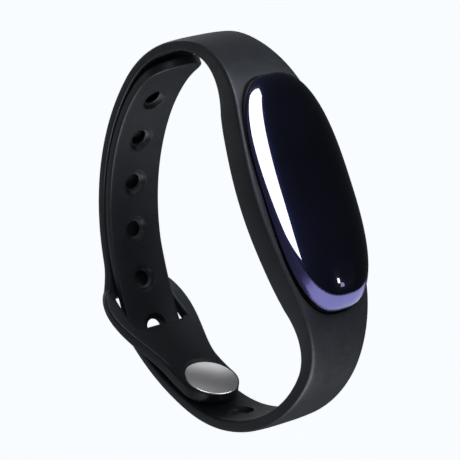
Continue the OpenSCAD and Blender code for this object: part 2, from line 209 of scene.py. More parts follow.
def arm_w(s):
    return STRAP_W + (CRADLE_W - STRAP_W) * ease(s / CRADLE_NARROWS)


def arm_t(s, thin):
    return thin + (CRADLE_T - thin) * ease((s - CRADLE_THICK_S) / CRADLE_THINS) ** 2


def under_t(s):
    share = ease((s - UNDER_THICK_S) / (CROSS_S - UNDER_THICK_S))
    return arm_t(s, STRAP_T + (UNDER_T - STRAP_T) * share)


def loop_w(s):
    return STRAP_W + (LOOP_W - STRAP_W) * ease(abs(s - LOOP_MIDDLE_S) / LOOP_WIDENS)


def loop_t(u):
    return TAB_T + (STRAP_T - TAB_T) * ease(u * TAB_THICKENS)


def tab_line(s):
    """The tab's outer face, which lies on the inside of the lower arm."""
    return inset(under(s), TAB_DEPTH)


def tail_line(s):
    """The tail's outer face, which lies on the inside of the upper arm."""
    lift = TAIL_LIFT * (1 - ease((TAIL_LIFT_S - s) / TAIL_LIFTS))
    return inset(over(s), STRAP_T + LAYER_GAP + lift)


def loop_link(u):
    return link(over(LOOP_S), tab_line(TAB_JOIN_S), 1, LINK_PULL, u)


def tail_link(u):
    return link(under(CROSS_S), tail_line(TAIL_JOIN_S), -1, LINK_PULL, u)


# A place on the outer face by which a strap piece knows its outside, just past its line's start
NEAR_START = 2


class Line:
    """A stretch of strap: pose, width and thickness as functions of the length q along it."""

    def __init__(self, stations):
        rows = np.array([(*pose, w, t) for pose, w, t in stations])
        rows[:, 2] = np.unwrap(rows[:, 2])
        step = np.hypot(*np.diff(rows[:, :2], axis=0).T)
        self.q = np.concatenate(([0], np.cumsum(step)))
        self.rows = rows
        self.length = self.q[-1]

    def at(self, q):
        return [np.interp(q, self.q, self.rows[:, i]) for i in range(5)]

    def width(self, q):
        return self.at(q)[3]

    def thick(self, q):
        return self.at(q)[4]

    def point(self, q, y, depth):
        """A place in the strap; the outer face is slightly crowned across its width."""
        x, z, angle, w, t = self.at(q)
        side = np.minimum(1, np.abs(y) / (w / 2))
        depth = depth + CROWN_SHARE * w * side ** 3 * (1 - depth / t)
        return np.stack((x - depth * np.cos(angle), np.broadcast_to(y, np.shape(x)),
                         z - depth * np.sin(angle)), axis=-1)

    def on_face(self, flat, is_inner):
        """Places on the outer or the inner face at flat q and y points."""
        depth = self.thick(flat[:, 0]) if is_inner else 0 * flat[:, 0]
        return self.point(flat[:, 0], flat[:, 1], depth)

    def q_of(self, pose):
        """Length along the line of the place nearest to a pose."""
        d = np.hypot(self.rows[:, 0] - pose[0], self.rows[:, 1] - pose[1])
        return self.q[np.argmin(d)]

    def outward(self):
        """A place on the outer face and the outward direction there."""
        angle = self.at(NEAR_START)[2]
        return self.point(NEAR_START, 0, 0), (math.cos(angle), 0, math.sin(angle))


STATION_STEP = 0.25


def spaced(a, b, step=STATION_STEP):
    return np.linspace(a, b, max(2, int(abs(b - a) / step) + 1))


def loop_line():
    """Upper arm from its cut, through the slotted loop, to the tab's tip."""
    rows = [(over(s), max(arm_w(s), loop_w(s)), arm_t(s, STRAP_T)) for s in spaced(OVER_CUT_S, LOOP_S)]
    rows += [(loop_link(u), loop_w(LOOP_S + u * LOOP_LINK_LEN), loop_t(u)) for u in LINK_SHARES]
    rows += [(tab_line(s), STRAP_W, TAB_T) for s in spaced(TAB_JOIN_S, STUD_S - TIP_R)[1:]]
    return Line(rows)


def cradle_line():
    """Cradle and the roots of both arms, from the upper arm's cut to the lower arm's."""
    rows = [(over(s), arm_w(s), arm_t(s, STRAP_T)) for s in spaced(OVER_CUT_S, 0)]
    rows += [(under(s), arm_w(s), under_t(s)) for s in spaced(0, UNDER_CUT_S)[1:]]
    return Line(rows)


def hole_line():
    """Lower arm from its cut, through the slot, up the inside to the tail's tip."""
    rows = [(under(s), arm_w(s), under_t(s)) for s in spaced(UNDER_CUT_S, CROSS_S)]
    rows += [(tail_link(u), STRAP_W, STRAP_T) for u in LINK_SHARES]
    rows += [(tail_line(s), STRAP_W, STRAP_T) for s in spaced(TAIL_JOIN_S, TAIL_TIP_S)[1:]]
    return Line(rows)


# ---------------------------------------------------------------- mesh building

# Points closer than this, in metres, are one point
WELD = 1e-7


class Skin:
    """Collects points and faces in millimetres and makes one smooth-shaded object of them."""

    def __init__(self):
        self.points = []
        self.faces = []

    def ring(self, points):
        """Adds a row of points and returns their numbers."""
        first = len(self.points)
        self.points.extend(np.asarray(points, float).tolist())
        return list(range(first, len(self.points)))

    def strip(self, a, b, closed):
        """Quads between two rings of the same number of points."""
        n = len(a)
        for i in range(n if closed else n - 1):
            j = (i + 1) % n
            self.faces.append((a[i], a[j], b[j], b[i]))

    def strips(self, rings, closed=True):
        for a, b in zip(rings, rings[1:]):
            self.strip(a, b, closed)

    def cap(self, ring, at):
        """Closes a ring with a fan round one middle point."""
        middle = self.ring([at])[0]
        n = len(ring)
        for i in range(n):
            self.faces.append((ring[i], ring[(i + 1) % n], middle))

    def make(self, name, outward):
        """outward is a place and the direction that the skin's surface there has to face."""
        mesh = bpy.data.meshes.new(name)
        mesh.from_pydata([[c * MM for c in p] for p in self.points], [], self.faces)
        bm = bmesh.new()
        bm.from_mesh(mesh)
        bmesh.ops.remove_doubles(bm, verts=bm.verts, dist=WELD)
        bmesh.ops.dissolve_degenerate(bm, edges=bm.edges, dist=WELD)
        bmesh.ops.recalc_face_normals(bm, faces=bm.faces)
        place = Vector(outward[0]) * MM
        near = min(bm.faces, key=lambda f: (f.calc_center_median() - place).length)
        if near.normal.dot(Vector(outward[1])) < 0:
            bmesh.ops.reverse_faces(bm, faces=bm.faces)
        bm.to_mesh(mesh)
        bm.free()
        mesh.polygons.foreach_set("use_smooth", [True] * len(mesh.polygons))
        piece = bpy.data.objects.new(name, mesh)
        bpy.context.scene.collection.objects.link(piece)
        return piece


def inside(points, loop):
    """Which flat points lie inside a closed loop."""
    x = points[:, 0][:, None]
    y = points[:, 1][:, None]
    a, b = loop, np.roll(loop, -1, axis=0)
    crosses = (a[:, 1] > y) != (b[:, 1] > y)
    with np.errstate(divide="ignore", invalid="ignore"):
        where = a[:, 0] + (y - a[:, 1]) * (b[:, 0] - a[:, 0]) / (b[:, 1] - a[:, 1])
    return (crosses & (x < where)).sum(axis=1) % 2 == 1


# Keeps the length of an empty edge off zero
TINY = 1e-12


def distance_to(points, loop):
    """How far flat points lie from a closed loop."""
    a, b = loop, np.roll(loop, -1, axis=0)
    way = b - a
    t = ((points[:, None] - a) * way).sum(-1) / np.maximum((way * way).sum(-1), TINY)
    near = a + np.clip(t, 0, 1)[..., None] * way
    return np.sqrt(((points[:, None] - near) ** 2).sum(-1).min(axis=1))


FACE_STEP = 0.5
CLEARANCE = 0.45 * FACE_STEP
POINTS_AT_ONCE = 500
SAME_POINT = 1e-6


def grid_points(loops):
    """Even flat points inside the first loop, outside the other loops and clear of them all."""
    outer = loops[0]
    low = outer.min(axis=0)
    high = outer.max(axis=0)
    q = np.arange(low[0] + FACE_STEP / 2, high[0], FACE_STEP)
    y = np.linspace(low[1], high[1], max(3, int((high[1] - low[1]) / FACE_STEP)))[1:-1]
    grid = np.stack(np.meshgrid(q, y, indexing="ij"), -1).reshape(-1, 2)
    grid = grid[inside(grid, outer)]
    for loop in loops:
        reach = ((grid > loop.min(axis=0) - FACE_STEP) & (grid < loop.max(axis=0) + FACE_STEP)).all(axis=1)
        near = np.nonzero(reach)[0]
        keep = np.ones(len(grid), bool)
        for some in np.array_split(near, max(1, len(near) // POINTS_AT_ONCE)):
            keep[some] = distance_to(grid[some], loop) > CLEARANCE
        if loop is not outer:
            keep[near] &= ~inside(grid[near], loop)
        grid = grid[keep]
    return grid


def fill(skin, line, is_inner, loops):
    """Fills one face of the strap inside the first loop and outside the others. A loop is its flat
    q and y points and their numbers in the skin."""
    flats = [flat for flat, _ in loops]
    grid = grid_points(flats)
    numbers = [number for _, ids in loops for number in ids]
    numbers += skin.ring(line.on_face(grid, is_inner))
    points, edges = [], []
    for flat in flats:
        first = len(points)
        points.extend(map(tuple, flat))
        edges += [(first + i, first + (i + 1) % len(flat)) for i in range(len(flat))]
    points.extend(map(tuple, grid))
    found = delaunay_2d_cdt([Vector(p) for p in points], edges, [], 0, SAME_POINT)
    flat_points = np.array([tuple(v) for v in found[0]])
    source = [numbers[o[0]] if o else None for o in found[3]]
    triangles = np.array([f for f in found[2] if len(f) == 3])
    middle = flat_points[triangles].mean(axis=1)
    keep = inside(middle, flats[0])
    for flat in flats[1:]:
        keep &= ~inside(middle, flat)
    for triangle in triangles[keep]:
        corners = [source[i] for i in triangle]
        if None not in corners and len(set(corners)) == 3:
            skin.faces.append(tuple(corners))


def fill_faces(skin, line, outline, holes):
    """Fills the outer and the inner face of a strap piece."""
    for is_inner in (False, True):
        fill(skin, line, is_inner, [outline[is_inner], *(hole[is_inner] for hole in holes)])


CORNER_STEPS = 5


def corner_profile():
    """A quarter round as (share of the radius in from the edge, share of the radius in depth)."""
    return [(1 - math.sin(a), 1 - math.cos(a)) for a in np.linspace(0, math.pi / 2, CORNER_STEPS + 1)]


EDGE_STEP = 0.4
EDGE_R_MAX = 0.55
EDGE_R_SHARE = 0.2


def edge_rings(skin, line, edge, inward, closed=True):
    """Rings round an edge of the strap, from its outer face over both rounded corners to its inner
    face. edge holds flat q and y points and inward their directions into the material."""
    thick = line.thick(edge[:, 0])
    radius = np.minimum(EDGE_R_MAX, EDGE_R_SHARE * thick)
    profile = corner_profile()
    steps = [(e, depth, False) for e, depth in profile] + [(e, depth, True) for e, depth in profile[::-1]]
    rings, flats = [], []
    for e, depth, is_inner in steps:
        flat = edge + (e * radius)[:, None] * inward
        down = thick - depth * radius if is_inner else depth * radius
        rings.append(skin.ring(line.point(flat[:, 0], flat[:, 1], down)))
        flats.append(flat)
    skin.strips(rings, closed)
    return (flats[0], rings[0]), (flats[-1], rings[-1])


TIP_POINTS = 39
ACROSS_STEP = 0.5


def strip_edges(skin, line, tip_q=None):
    """Both long edges of a strap piece, and its round tip if it has one. Returns the outline loops
    of the outer and the inner face; the cut ends stay open."""
    q = spaced(0, line.length if tip_q is None else tip_q, EDGE_STEP)
    # Each row of a path is q, y and the direction into the material
    near = np.stack((q, -line.width(q) / 2, 0 * q, 1 + 0 * q), axis=-1)
    far = np.stack((q, line.width(q) / 2, 0 * q, -1 + 0 * q), axis=-1)[::-1]
    paths = [near, far]
    if tip_q is not None:
        a = np.linspace(-math.pi / 2, math.pi / 2, TIP_POINTS + 2)[1:-1]
        tip = np.stack((tip_q + TIP_R * np.cos(a), TIP_R * np.sin(a), -np.cos(a), -np.sin(a)), axis=-1)
        paths = [np.concatenate((near, tip, far))]
    edges = [edge_rings(skin, line, path[:, :2], path[:, 2:], closed=False) for path in paths]
    outer, inner = zip(*edges)
    return close_loop(skin, line, outer, False), close_loop(skin, line, inner, True)


def close_loop(skin, line, parts, is_inner):
    """Joins edge paths into one closed loop with straight rows of points across the cut ends."""
    flats, numbers = [], []
    for i, (flat, ids) in enumerate(parts):
        start = flat[-1]
        end = parts[(i + 1) % len(parts)][0][0]
        n = max(2, int(abs(end[1] - start[1]) / ACROSS_STEP))
        t = np.linspace(0, 1, n + 1)[1:-1, None]
        across = start + t * (end - start)
        flats += [flat, across]
        numbers += ids + skin.ring(line.on_face(across, is_inner))
    return np.concatenate(flats), numbers


HOLE_POINTS = 48

# A hole's wall as (radius, depth) steps from either face: a rounded rim and three ridges, then
# the thin web between the two recesses. The bore that the stud passes has the rim alone.
HOLE_STEPS = ((RIM_R + 0.1, 0), (RIM_R + 0.04, 0.015), (RIM_R, 0.06), (RIM_R - 0.02, 0.28),
              (RIM_R - 0.18, 0.32), (RIM_R - 0.2, 0.46), (RIM_R - 0.36, 0.5), (RIM_R - 0.38, 0.62),
              (RIM_R - 0.54, 0.66), (WEB_R + 0.06, 0.7), (WEB_R, 0.76))
BORE_STEPS = (*HOLE_STEPS[:3], (RIM_R, 0.5))


def circle(q0, r):
    a = np.linspace(0, 2 * math.pi, HOLE_POINTS, endpoint=False)
    return np.stack((q0 + r * np.cos(a), r * np.sin(a)), axis=-1)


def hole_rings(skin, line, pose, steps=HOLE_STEPS):
    """The wall of a hole through the strap at a pose."""
    q0 = line.q_of(pose)
    thick = float(line.thick(q0))
    rings = []
    for is_inner in (False, True):
        for r, depth in (steps[::-1] if is_inner else steps):
            flat = circle(q0, r)
            down = thick - depth if is_inner else depth
            rings.append(skin.ring(line.point(flat[:, 0], flat[:, 1], down)))
    skin.strips(rings)
    mouth = circle(q0, steps[0][0])
    return (mouth, rings[0]), (mouth, rings[-1])


SLOT_CORNER_POINTS = 6
CORNERS = ((1, 1), (-1, 1), (-1, -1), (1, -1))


def rounded_slot(q0):
    """The slot's edge about (q0, 0), as flat points and the directions out of the slot."""
    straight_q = SLOT_LEN / 2 - SLOT_CORNER_R
    straight_y = SLOT_W / 2 - SLOT_CORNER_R
    points, ways = [], []
    for k, (sq, sy) in enumerate(CORNERS):
        for a in np.linspace(0, math.pi / 2, SLOT_CORNER_POINTS):
            angle = k * math.pi / 2 + a
            way = (math.cos(angle), math.sin(angle))
            points.append((q0 + sq * straight_q + SLOT_CORNER_R * way[0],
                           sy * straight_y + SLOT_CORNER_R * way[1]))
            ways.append(way)
    points, ways = np.array(points), np.array(ways)
    loop, out = [], []
    for i in range(len(points)):
        j = (i + 1) % len(points)
        gap = np.linalg.norm(points[j] - points[i])
        pieces = max(1, int(gap / EDGE_STEP))
        for t in np.arange(pieces) / pieces:
            loop.append(points[i] + t * (points[j] - points[i]))
            way = ways[i] + t * (ways[j] - ways[i])
            out.append(way / np.linalg.norm(way))
    return np.array(loop), np.array(out)


# ---------------------------------------------------------------- the strap's three skins

def stud_axes():
    """The stud's place on the lower arm, its outward direction and the direction along the arm."""
    x, z, angle = under(STUD_S)
    return (np.array((x, 0, z)), np.array((math.cos(angle), 0, math.sin(angle))),
            np.array((math.sin(angle), 0, -math.cos(angle))))


SEAT_SLOPE = 1.2
SEAT_MARGIN = 1


def sink_seat(skin):
    """Lets the button into the curved tab: a flat round seat with a sloping edge."""
    at, outward, side = stud_axes()
    points = np.array(skin.points)
    local = points - at
    r = np.hypot(local @ side, local[:, 1])
    height = BUTTON_SEAT - local @ outward
    allowed = SEAT_SLOPE * np.maximum(0, r - BUTTON_R)
    proud = (r < BUTTON_R + SEAT_MARGIN) & (height > allowed) & (height < TAB_T)
    points[proud] += (height - allowed)[proud, None] * outward
    skin.points = points.tolist()


def make_loop_side():
    """Upper arm, slotted loop and tab."""
    line = loop_line()
    skin = Skin()
    outline = strip_edges(skin, line, line.length - TIP_R)
    slot = edge_rings(skin, line, *rounded_slot(line.q_of(loop_link(SLOT_U))))
    fill_faces(skin, line, outline, [slot])
    sink_seat(skin)
    return skin.make("strap_loop_side", line.outward())


def make_hole_side():
    """Lower arm and tail, with the row of adjustment holes and the bore that the stud passes."""
    line = hole_line()
    skin = Skin()
    outline = strip_edges(skin, line, line.length - TIP_R)
    places = [under(STUD_S - UNDER_PITCH), under(STUD_S + UNDER_PITCH),
              tail_link(SLOT_HOLE_U), tail_link(BEND_HOLE_U)]
    places += [tail_line(LAST_TAIL_HOLE_S - i * TAIL_PITCH) for i in range(TAIL_HOLES)]
    holes = [hole_rings(skin, line, place) for place in places]
    holes.append(hole_rings(skin, line, under(BORE_S), BORE_STEPS))
    fill_faces(skin, line, outline, holes)
    return skin.make("strap_hole_side", line.outward())


# The capsule's own axes: X along its length towards the lower arm, Y across, Z outward
CAPSULE = Matrix.Translation((CENTRE[0], 0, CENTRE[1])) @ Matrix.Rotation(math.pi / 2 - CENTRE[2], 4, "Y")
CAPSULE_ROT = np.array(CAPSULE.to_3x3())
CAPSULE_AT = np.array(CAPSULE.translation)
CAPSULE_OUT = np.array((math.cos(CENTRE[2]), 0, math.sin(CENTRE[2])))


def from_capsule(points):
    return np.asarray(points, float) @ CAPSULE_ROT.T + CAPSULE_AT


def to_capsule(points):
    return (np.asarray(points, float) - CAPSULE_AT) @ CAPSULE_ROT


def on_axis(z):
    return from_capsule((0, 0, z))


ROUND_POWER = 2.7
OUTLINE_POINTS = 240
OUTLINE_SAMPLES = 8001


def capsule_outline(grow):
    """The capsule's outline, a superellipse with points spaced evenly along it, grown all round."""
    t = np.linspace(0, 2 * math.pi, OUTLINE_SAMPLES)
    half_l = CAPSULE_L / 2 + grow
    half_w = CAPSULE_W / 2 + grow
    x = half_l * np.sign(np.cos(t)) * np.abs(np.cos(t)) ** (2 / ROUND_POWER)
    y = half_w * np.sign(np.sin(t)) * np.abs(np.sin(t)) ** (2 / ROUND_POWER)
    run = np.concatenate(([0], np.cumsum(np.hypot(np.diff(x), np.diff(y)))))
    at = np.linspace(0, run[-1], OUTLINE_POINTS, endpoint=False)
    return np.stack((np.interp(at, run, x), np.interp(at, run, y)), axis=-1)


def level_ring(skin, grow, z):
    """The grown outline laid level at a height z of the capsule."""
    flat = capsule_outline(grow)
    return skin.ring(from_capsule(np.column_stack((flat, np.full(len(flat), z)))))


STEP_LOW = -3.9
BACK_LOW = -5.0
LEDGE_IN = 1.1
LEDGE_ROUND = 0.1
LEDGE_DROP = 0.2
LIP_R = 0.3
LINE_SAMPLES = 2001

LEDGE_Z = STEP_LOW - POCKET_PLAY

# The pocket's wall and the ledge at its foot, as (growth of the capsule's outline, height) steps
POCKET_STEPS = ((POCKET_PLAY, -3.2), (POCKET_PLAY, LEDGE_Z), (-LEDGE_IN + LEDGE_ROUND, LEDGE_Z),
                (-LEDGE_IN, LEDGE_Z - LEDGE_DROP))


def make_cradle():
    """Cradle with the capsule's pocket, its ledge and the window behind it."""
    line = cradle_line()
    skin = Skin()
    outline = strip_edges(skin, line)
    q = np.linspace(0, line.length, LINE_SAMPLES)

    def on_strap(grow, depth_share):
        """The capsule's grown outline as flat q and y points at a share of the cradle's depth."""
        flat = capsule_outline(grow)
        x = to_capsule(line.point(q, 0, depth_share * line.thick(q)))[:, 0]
        return np.stack((np.interp(flat[:, 0], x, q), flat[:, 1]), axis=-1)

    rings, flats = [], []
    for e, depth in corner_profile():
        flat = on_strap(POCKET_PLAY + e * LIP_R, 0)
        rings.append(skin.ring(line.point(flat[:, 0], flat[:, 1], depth * LIP_R)))
        flats.append(flat)
    rings += [level_ring(skin, grow, z) for grow, z in POCKET_STEPS]
    for e, depth in corner_profile()[::-1]:
        flat = on_strap(-LEDGE_IN + e * LIP_R, 1)
        down = line.thick(flat[:, 0]) - depth * LIP_R
        rings.append(skin.ring(line.point(flat[:, 0], flat[:, 1], down)))
        flats.append(flat)
    skin.strips(rings)
    pocket = ((flats[0], rings[0]), (flats[-1], rings[-1]))
    fill_faces(skin, line, outline, [pocket])
    return skin.make("strap_cradle", line.outward())


# ---------------------------------------------------------------- the capsule's case

# The lens and the trim meet on a slope that climbs towards the capsule's lower end
PART_LOW = 0.5
PART_R = 340
LENS_GAP = 0.03
SHARE_FLOOR = 0.3
HALVINGS = 40


def parting(x):
    """Height of the slope at a place along the capsule."""
    d = np.maximum(0, x + CAPSULE_L / 2)
    return PART_LOW + PART_R - np.sqrt(PART_R ** 2 - d * d)


def dome_z(k):
    """Height of the dome at a share k of the way out to the outline."""
    return DOME_H * np.sqrt(np.maximum(0, 1 - k ** ROUND_POWER))


def parting_share(flat, gap):
    """Share of the outline at which the dome meets the slope, for each outline point."""
    low, high = np.full(len(flat), SHARE_FLOOR), np.ones(len(flat))
    for _ in range(HALVINGS):
        k = (low + high) / 2
        above = dome_z(k) > parting(flat[:, 0] * k) + gap
        low, high = np.where(above, k, low), np.where(above, high, k)
    return (low + high) / 2


TOUCH_X = 14.4
TOUCH_R = 2.3
TOUCH_DEPTH = 0.05


def dome_ring(flat, k):
    """Places on the dome at a share k of the outline, with the shallow touch dimple."""
    xy = flat * np.reshape(k, (-1, 1))
    z = dome_z(np.broadcast_to(k, len(flat)))
    d = np.hypot(xy[:, 0] - TOUCH_X, xy[:, 1]) / TOUCH_R
    z = z - TOUCH_DEPTH * np.where(d < 1, (1 - d ** 2) ** 2, 0)
    return np.column_stack((xy, z))


def drawn_in(ring, distance):
    """A ring of the capsule moved straight towards its middle axis."""
    moved = ring.copy()
    moved[:, :2] *= (1 - distance / np.hypot(*moved[:, :2].T))[:, None]
    return moved


LENS_RINGS = 45
LENS_CROWDING = 1.5
LENS_EDGE_STEPS = (0.03, 0.9)
LENS_INNER_Z = 3.6


def make_lens():
    """Domed cover, hollow below, with rings that crowd together towards its edge."""
    flat = capsule_outline(0)
    edge = parting_share(flat, LENS_GAP)
    skin = Skin()
    shares = 1 - np.linspace(0, 1, LENS_RINGS + 1)[::-1] ** LENS_CROWDING
    rings = [skin.ring(from_capsule(dome_ring(flat, edge * k))) for k in shares[1:]]
    skin.cap(rings[0], on_axis(DOME_H))
    last = dome_ring(flat, edge)
    rings += [skin.ring(from_capsule(drawn_in(last, step))) for step in LENS_EDGE_STEPS]
    skin.strips(rings)
    skin.cap(rings[-1], on_axis(LENS_INNER_Z))
    return skin.make("lens_cover", (on_axis(DOME_H), CAPSULE_OUT))


TRIM_LOW = -0.15
TRIM_WIDTH = 0.8
TRIM_EDGE = 0.04
TRIM_SIDE_Z = -0.05
TRIM_RINGS = 10
TRIM_CROWDING = 0.7
TRIM_FOOT = ((0, -0.1), (-0.05, TRIM_LOW), (-TRIM_WIDTH, TRIM_LOW))


def make_trim():
    """Ring under the lens, which goes on with the dome's surface down to the seal."""
    flat = capsule_outline(0)
    edge = parting_share(flat, 0)
    skin = Skin()
    top = dome_ring(flat, edge)
    rings = [skin.ring(from_capsule(drawn_in(top, step))) for step in (TRIM_WIDTH, TRIM_EDGE)]
    for share in np.linspace(0, 1, TRIM_RINGS) ** TRIM_CROWDING:
        rings.append(skin.ring(from_capsule(dome_ring(flat, edge + (1 - edge) * share))))
    rings += [level_ring(skin, grow, z) for grow, z in TRIM_FOOT]
    rings.append(rings[0])
    skin.strips(rings)
    return skin.make("trim_ring_skin", (from_capsule((0, -CAPSULE_W / 2, TRIM_SIDE_Z)), (0, -1, 0)))


BASE_HIGH = -0.45
BACK_IN = -LEDGE_IN - 0.2

# Down the shell as (growth of the capsule's outline, height) steps: the wall with its rounded
# edges, the step that rests on the ledge, and the flat back inside the window
BASE_STEPS = ((-1.0, BASE_HIGH), (-0.1, BASE_HIGH), (-0.03, BASE_HIGH - 0.03), (0, BASE_HIGH - 0.1),
              (0, -3.55), (-0.05, -3.7), (-0.17, -3.83), (-0.35, STEP_LOW), (BACK_IN + 0.05, STEP_LOW),
              (BACK_IN, STEP_LOW - 0.06), (BACK_IN, BACK_LOW + 0.25), (BACK_IN - 0.07, BACK_LOW + 0.08),
              (BACK_IN - 0.25, BACK_LOW), (BACK_IN - 0.6, BACK_LOW))


def make_base():
    """Lower shell of the capsule."""
    skin = Skin()
    rings = [level_ring(skin, grow, z) for grow, z in BASE_STEPS]
    skin.strips(rings)
    skin.cap(rings[-1], on_axis(BACK_LOW))
    skin.cap(rings[0], on_axis(BASE_HIGH))
    return skin.make("case_back_shell", (on_axis(BACK_LOW), -CAPSULE_OUT))


DOME_EDGE_R = BUTTON_R - 0.25
DOME_RINGS = 14
BUTTON_POINTS = 128

# From the neck's end in the stud head, over the button's rounded rim, as (radius, height) steps
# above the seat
BUTTON_STEPS = ((NECK_R, BUTTON_SEAT + HEAD_H), (NECK_R, 0), (BUTTON_R - 0.05, 0), (BUTTON_R, 0.04),
                (BUTTON_R, 0.11), (BUTTON_R - 0.03, 0.17), (BUTTON_R - 0.09, 0.22),
                (BUTTON_R - 0.17, 0.245), (DOME_EDGE_R, BUTTON_RIM_H + 0.01))


def make_button():
    """Domed metal button on the wrist side of the tab, and the neck that goes through the tab to
    the stud head."""
    dome = [(DOME_EDGE_R * k, BUTTON_RIM_H + (BUTTON_H - BUTTON_RIM_H) * (1 - k * k))
            for k in np.linspace(1, 0, DOME_RINGS + 2)[1:-1]]
    a = np.linspace(0, 2 * math.pi, BUTTON_POINTS, endpoint=False)
    at, outward, side = stud_axes()
    spokes = np.outer(np.cos(a), side) + np.outer(np.sin(a), (0, 1, 0))
    skin = Skin()
    rings = [skin.ring(at + (BUTTON_SEAT - h) * outward + r * spokes) for r, h in (*BUTTON_STEPS, *dome)]
    skin.strips(rings)
    top = at + (BUTTON_SEAT - BUTTON_H) * outward
    skin.cap(rings[0], at - HEAD_H * outward)
    skin.cap(rings[-1], top)
    return skin.make("fastening_button", (top, -outward))


# ---------------------------------------------------------------- materials

COLOUR_DETAIL = 2.0
GRAIN_DETAIL = 3.0
RAMP_LOW = 0.35
RAMP_HIGH = 0.65


def new_material(name):
    material = bpy.data.materials.new(name)
    material.use_nodes = True
    tree = material.node_tree
    return material, tree, tree.nodes["Principled BSDF"]


def add_noise(tree, scale, detail):
    """Noise in the piece's own axes; scale is in waves per metre."""
    place = tree.nodes.new("ShaderNodeTexCoord")
    noise = tree.nodes.new("ShaderNodeTexNoise")
    noise.inputs["Scale"].default_value = scale
    noise.inputs["Detail"].default_value = detail
    tree.links.new(place.outputs["Object"], noise.inputs["Vector"])
    return noise


def add_bump(tree, shader, scale, strength, distance):
    """Fine surface grain."""
    noise = add_noise(tree, scale, GRAIN_DETAIL)
    bump = tree.nodes.new("ShaderNodeBump")
    bump.inputs["Strength"].default_value = strength
    bump.inputs["Distance"].default_value = distance
    tree.links.new(noise.outputs["Fac"], bump.inputs["Height"])
    tree.links.new(bump.outputs["Normal"], shader.inputs["Normal"])


def vary(tree, shader, socket, scale, low, high):
    """Varies an input slowly over the surface, between two values or two colours."""
    noise = add_noise(tree, scale, COLOUR_DETAIL)
    ramp = tree.nodes.new("ShaderNodeValToRGB")
    ends = ramp.color_ramp.elements
    for end, position, value in ((ends[0], RAMP_LOW, low), (ends[1], RAMP_HIGH, high)):
        end.position = position
        end.color = (*value, 1) if isinstance(value, tuple) else (value, value, value, 1)
    tree.links.new(noise.outputs["Fac"], ramp.inputs["Fac"])
    tree.links.new(ramp.outputs["Color"], shader.inputs[socket])


def silicone():
    material, tree, shader = new_material("satin_silicone")
    vary(tree, shader, "Base Color", 160, (0.0105, 0.0120, 0.0152), (0.0140, 0.0158, 0.0198))
    vary(tree, shader, "Roughness", 900, 0.42, 0.49)
    shader.inputs["Specular IOR Level"].default_value = 0.42
    shader.inputs["Specular Tint"].default_value = (0.84, 0.91, 1, 1)
    shader.inputs["Sheen Weight"].default_value = 0.04
    shader.inputs["Sheen Roughness"].default_value = 0.4
    add_bump(tree, shader, scale=7000, strength=0.12, distance=0.00002)
    return material


def lens_plastic():
    """Clear gloss over a faint blue haze, which glows beside a bright reflection."""
    material, tree, shader = new_material("lens_cover_gloss")
    vary(tree, shader, "Base Color", 60, (0.0004, 0.0005, 0.0014), (0.0008, 0.0009, 0.0026))
    vary(tree, shader, "Roughness", 500, 0.24, 0.28)
    shader.inputs["IOR"].default_value = 1.35
    shader.inputs["Specular Tint"].default_value = (0.05, 0.075, 0.32, 1)
    shader.inputs["Coat Weight"].default_value = 1.0
    shader.inputs["Coat Roughness"].default_value = 0.015
    shader.inputs["Coat IOR"].default_value = 1.6
    return material


def trim_plastic():
    material, tree, shader = new_material("violet_trim_gloss")
    vary(tree, shader, "Base Color", 120, (0.150, 0.145, 0.41), (0.175, 0.168, 0.46))
    vary(tree, shader, "Roughness", 700, 0.24, 0.28)
    shader.inputs["Metallic"].default_value = 0.85
    shader.inputs["Coat Weight"].default_value = 0.6
    shader.inputs["Coat Roughness"].default_value = 0.04
    return material


def button_steel():
    material, tree, shader = new_material("satin_steel")
    vary(tree, shader, "Base Color", 150, (0.52, 0.52, 0.53), (0.56, 0.56, 0.57))
    vary(tree, shader, "Roughness", 500, 0.30, 0.31)
    shader.inputs["Metallic"].default_value = 1.0
    return material


def plain(name, low, high, roughness=(0.5, 0.62), metallic=0.0):
    """A moulded, plated or printed finish with slow colour variation and fine grain."""
    material, tree, shader = new_material(name)
    vary(tree, shader, "Base Color", 250, low, high)
    vary(tree, shader, "Roughness", 900, *roughness)
    shader.inputs["Metallic"].default_value = metallic
    add_bump(tree, shader, scale=4000, strength=0.15, distance=0.00003)
    return material


